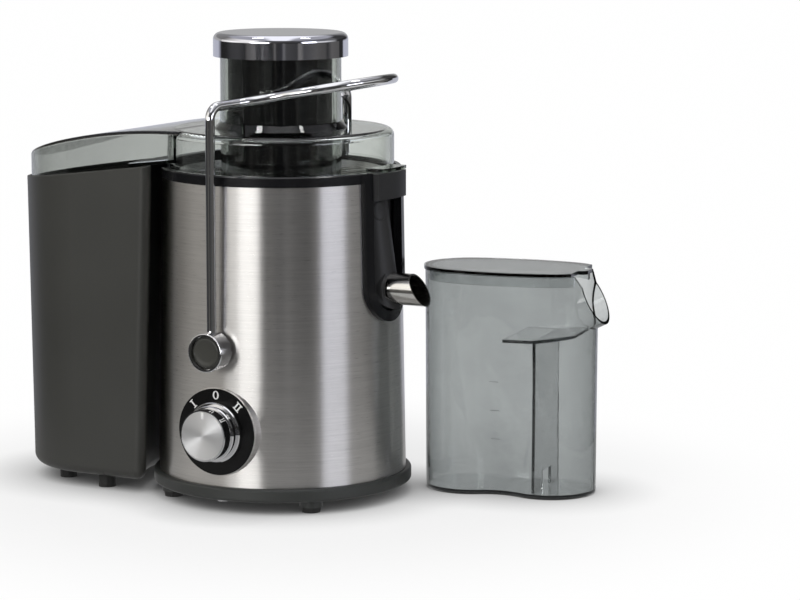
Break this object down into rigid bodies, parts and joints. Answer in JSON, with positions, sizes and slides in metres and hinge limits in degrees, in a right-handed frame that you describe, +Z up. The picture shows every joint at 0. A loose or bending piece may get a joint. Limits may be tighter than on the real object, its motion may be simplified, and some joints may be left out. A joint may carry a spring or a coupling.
{
  "type": "juice extractor",
  "caption": "Centrifugal juice extractor: steel-sleeved motor base, spinning filter basket, clear lid with feed chute and pusher, pulp container, locking bail and juice jug.",
  "frame": {"origin": "on the motor axis, on the surface that the feet stand on", "axes": "+Z up along the motor axis, -Y to the front with the dial, +X to the spout and jug, -X to the pulp container"},
  "size_m": [0.3753, 0.2052, 0.2954],
  "materials": {
    "dark_moulding": "fine spark-eroded grain, dark grey",
    "bowl_moulding": "satin dark grey",
    "container_moulding": "fine grain, warm dark grey",
    "pusher_moulding": "gloss black",
    "foot_rubber": "matt black rubber",
    "fixing_steel": "bright zinc",
    "sleeve_steel": "brushed round the sleeve",
    "spout_steel": "polished stainless",
    "bail_steel": "polished chrome on steel",
    "basket_steel": "bright stainless",
    "plated_moulding": "chrome-plated moulding",
    "spun_aluminium": "spun face with radial sheen",
    "white_mark": "white inlay",
    "dial_black": "satin black",
    "cap_black": "gloss black dome",
    "lid_clear": "clear, smoky grey-green",
    "jug_clear": "clear, smoky grey",
    "bracket_alloy": "die-cast",
    "motor_iron": "stacked laminations",
    "motor_copper": "lacquered copper"
  },
  "bodies": {
    "motor_base": {"base_pan": "dark_moulding", "base_feet": "foot_rubber", "base_screws": "fixing_steel", "motor_housing": "dark_moulding", "steel_sleeve": "sleeve_steel", "spout_surround": "dark_moulding", "motor_dampers": "foot_rubber", "motor_screws": "fixing_steel", "upper_bracket": "bracket_alloy", "lower_bracket": "bracket_alloy", "upper_bearing": "fixing_steel", "lower_bearing": "fixing_steel", "motor_stator": "motor_iron", "field_coils": "motor_copper", "brush_holders": "dark_moulding", "shaft_seal": "foot_rubber", "rotary_switch": "dark_moulding", "safety_switch": "dark_moulding", "cord_gland": "foot_rubber", "dial_plate": "dial_black", "pivot_pins": "fixing_steel", "juice_bowl": "bowl_moulding", "steel_spout": "spout_steel", "lid": "lid_clear", "pulp_container": "container_moulding", "pulp_container_feet": "foot_rubber"},
    "rotor": {"motor_shaft": "fixing_steel", "armature_core": "motor_iron", "armature_windings": "motor_copper", "commutator": "motor_copper", "cooling_fan": "dark_moulding", "drive_coupling": "dark_moulding", "basket_base": "dark_moulding", "grater_disc": "basket_steel", "basket_mesh": "basket_steel", "basket_rim": "basket_steel"},
    "speed_knob": {"switch_spindle": "fixing_steel", "knob_skirt": "plated_moulding", "knob_face": "spun_aluminium", "knob_index": "white_mark"},
    "bail": {"bail_wire": "bail_steel", "bail_hubs": "bail_steel", "hub_caps": "cap_black"},
    "pusher": {"pusher_tube": "pusher_moulding", "pusher_cap": "plated_moulding"},
    "jug": {"jug": "jug_clear"},
    "jug_lid": {"jug_lid": "jug_clear"},
    "froth_separator": {"froth_separator": "jug_clear"}
  },
  "joints": [
    {"name": "rotor_spin", "type": "hinge", "parent": "motor_base", "child": "rotor", "pos_m": [0, 0, 0.1], "axis": [0, 0, 1], "continuous": true},
    {"name": "knob_turn", "type": "hinge", "parent": "motor_base", "child": "speed_knob", "pos_m": [0, -0.08, 0.051], "axis": [0, 1, 0], "range_deg": [-45, 45]},
    {"name": "bail_swing", "type": "hinge", "parent": "motor_base", "child": "bail", "pos_m": [0, 0, 0.1025], "axis": [0, 1, 0], "range_deg": [0, 45]},
    {"name": "pusher_lift", "type": "slide", "parent": "motor_base", "child": "pusher", "axis": [0, 0, 1], "range_m": [0, 0.12]},
    {"name": "jug_slide", "type": "slide", "parent": "motor_base", "child": "jug", "axis": [1, 0, 0], "range_m": [0, 0.15]},
    {"name": "jug_lid_lift", "type": "slide", "parent": "jug", "child": "jug_lid", "axis": [0, 0, 1], "range_m": [0, 0.012]},
    {"name": "separator_lift", "type": "slide", "parent": "jug", "child": "froth_separator", "axis": [0, 0, 1], "range_m": [0, 0.03]}
  ]
}
